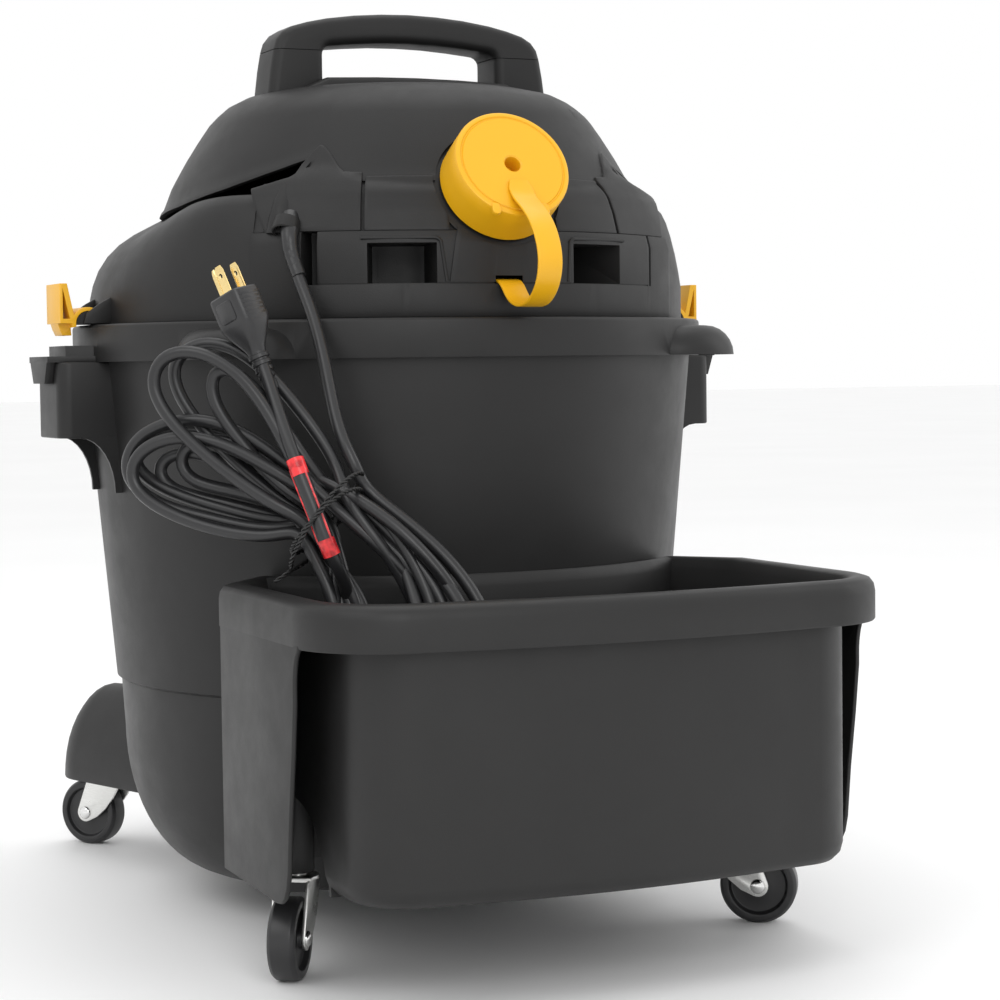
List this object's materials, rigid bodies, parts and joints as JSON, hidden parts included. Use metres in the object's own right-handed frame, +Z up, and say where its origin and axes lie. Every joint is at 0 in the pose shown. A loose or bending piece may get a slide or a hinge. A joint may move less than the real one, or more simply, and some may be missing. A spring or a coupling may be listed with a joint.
{
  "type": "shop vacuum",
  "caption": "Wheeled wet and dry shop vacuum: round drum on casters, lift-off motor head with carry handle, capped blower port, folded mains cord and a rear tool bin.",
  "frame": {"origin": "centre of the floor area under the vacuum, on the floor", "axes": "+Z up, the tool bin faces -Y and the hose inlet faces +Y, +X to the right of someone who looks at the tool bin"},
  "size_m": [0.504, 0.665, 0.613],
  "materials": {
    "drum_plastic": "moulded, fine texture",
    "head_plastic": "moulded, fine texture",
    "bin_plastic": "moulded, fine texture",
    "bright_steel": "satin",
    "duct_plastic": "satin",
    "zinc_steel": "zinc plated",
    "wheel_plastic": "satin",
    "seal_rubber": "matt",
    "yellow_plastic": "satin",
    "switch_plastic": "gloss",
    "fan_aluminium": "satin",
    "stator_steel": "laminated",
    "float_plastic": "satin",
    "filter_paper": "pleated paper",
    "cord_rubber": "satin",
    "plug_brass": "bright",
    "sleeve_plastic": "satin"
  },
  "bodies": {
    "tank": {"drum": "drum_plastic", "drum_collar": "head_plastic", "tool_bin": "bin_plastic", "bin_screws": "bright_steel", "foot_front_left": "bin_plastic", "foot_front_right": "bin_plastic", "hose_inlet": "duct_plastic", "inlet_deflector": "duct_plastic"},
    "swivel_front_left": {"fork_front_left": "zinc_steel", "axle_front_left": "bright_steel"},
    "caster_wheel_front_left": {"wheel_front_left": "wheel_plastic"},
    "swivel_front_right": {"fork_front_right": "zinc_steel", "axle_front_right": "bright_steel"},
    "caster_wheel_front_right": {"wheel_front_right": "wheel_plastic"},
    "swivel_rear_left": {"fork_rear_left": "zinc_steel", "axle_rear_left": "bright_steel"},
    "caster_wheel_rear_left": {"wheel_rear_left": "wheel_plastic"},
    "swivel_rear_right": {"fork_rear_right": "zinc_steel", "axle_rear_right": "bright_steel"},
    "caster_wheel_rear_right": {"wheel_rear_right": "wheel_plastic"},
    "head": {"lid": "head_plastic", "lid_gasket": "seal_rubber", "vent_housing": "head_plastic", "motor_cover": "head_plastic", "cover_screws": "bright_steel", "handle_base": "head_plastic", "handle_grip": "head_plastic", "handle_screws": "bright_steel", "blower_port": "duct_plastic", "cap_strap": "yellow_plastic", "switch_bezel": "duct_plastic", "fan_housing": "fan_aluminium", "motor_stator": "stator_steel", "bearing_upper": "bright_steel", "bearing_lower": "bright_steel", "filter_cage": "duct_plastic", "filter_cartridge": "filter_paper", "filter_retainer": "duct_plastic", "cord_strain_relief": "cord_rubber", "cord_lead": "cord_rubber", "cord_hank": "cord_rubber", "cord_plug_lead": "cord_rubber", "cord_plug": "cord_rubber", "plug_blades": "plug_brass", "cord_tie": "cord_rubber", "cord_sleeve": "sleeve_plastic"},
    "rotor": {"motor_shaft": "bright_steel", "impeller": "fan_aluminium"},
    "float": {"float_ball": "float_plastic"},
    "cap": {"port_cap": "yellow_plastic"},
    "latch_left": {"latch_left": "yellow_plastic"},
    "latch_right": {"latch_right": "yellow_plastic"},
    "rocker": {"switch_rocker": "switch_plastic"}
  },
  "joints": [
    {"name": "swivel_front_left", "type": "hinge", "parent": "tank", "child": "swivel_front_left", "pos_m": [-0.14, 0.291, 0.075], "axis": [0, 0, 1], "continuous": true},
    {"name": "wheel_spin_front_left", "type": "hinge", "parent": "swivel_front_left", "child": "caster_wheel_front_left", "pos_m": [-0.15478, 0.30862, 0.0254], "axis": [-0.766, -0.6428, 0], "continuous": true},
    {"name": "swivel_front_right", "type": "hinge", "parent": "tank", "child": "swivel_front_right", "pos_m": [0.14, 0.291, 0.075], "axis": [0, 0, 1], "continuous": true},
    {"name": "wheel_spin_front_right", "type": "hinge", "parent": "swivel_front_right", "child": "caster_wheel_front_right", "pos_m": [0.16161, 0.29887, 0.0254], "axis": [-0.342, 0.9397, 0], "continuous": true},
    {"name": "swivel_rear_left", "type": "hinge", "parent": "tank", "child": "swivel_rear_left", "pos_m": [-0.15, -0.157, 0.075], "axis": [0, 0, 1], "continuous": true},
    {"name": "wheel_spin_rear_left", "type": "hinge", "parent": "swivel_rear_left", "child": "caster_wheel_rear_left", "pos_m": [-0.16286, -0.17607, 0.0254], "axis": [0.829, -0.5592, 0], "continuous": true},
    {"name": "swivel_rear_right", "type": "hinge", "parent": "tank", "child": "swivel_rear_right", "pos_m": [0.15, -0.157, 0.075], "axis": [0, 0, 1], "continuous": true},
    {"name": "wheel_spin_rear_right", "type": "hinge", "parent": "swivel_rear_right", "child": "caster_wheel_rear_right", "pos_m": [0.16861, -0.17052, 0.0254], "axis": [0.5878, 0.809, 0], "continuous": true},
    {"name": "head_lift", "type": "slide", "parent": "tank", "child": "head", "axis": [0, 0, 1], "range_m": [0, 0.2]},
    {"name": "rotor_spin", "type": "hinge", "parent": "head", "child": "rotor", "pos_m": [0, 0.057, 0.46], "axis": [0, 0, 1], "continuous": true},
    {"name": "float_rise", "type": "slide", "parent": "head", "child": "float", "axis": [0, 0, 1], "range_m": [0, 0.09]},
    {"name": "cap_pull", "type": "slide", "parent": "head", "child": "cap", "axis": [0, -0.8829, 0.4695], "range_m": [0, 0.05], "deforming": ["cap_strap"]},
    {"name": "latch_left_swing", "type": "hinge", "parent": "head", "child": "latch_left", "pos_m": [-0.222, 0.057, 0.4025], "axis": [0, 1, 0], "range_deg": [0, 50]},
    {"name": "latch_right_swing", "type": "hinge", "parent": "head", "child": "latch_right", "pos_m": [0.222, 0.057, 0.4025], "axis": [0, -1, 0], "range_deg": [0, 50]},
    {"name": "switch_rock", "type": "hinge", "parent": "head", "child": "rocker", "pos_m": [0, 0.17738, 0.51347], "axis": [0, -0.4695, 0.8829], "range_deg": [0, 12]}
  ]
}
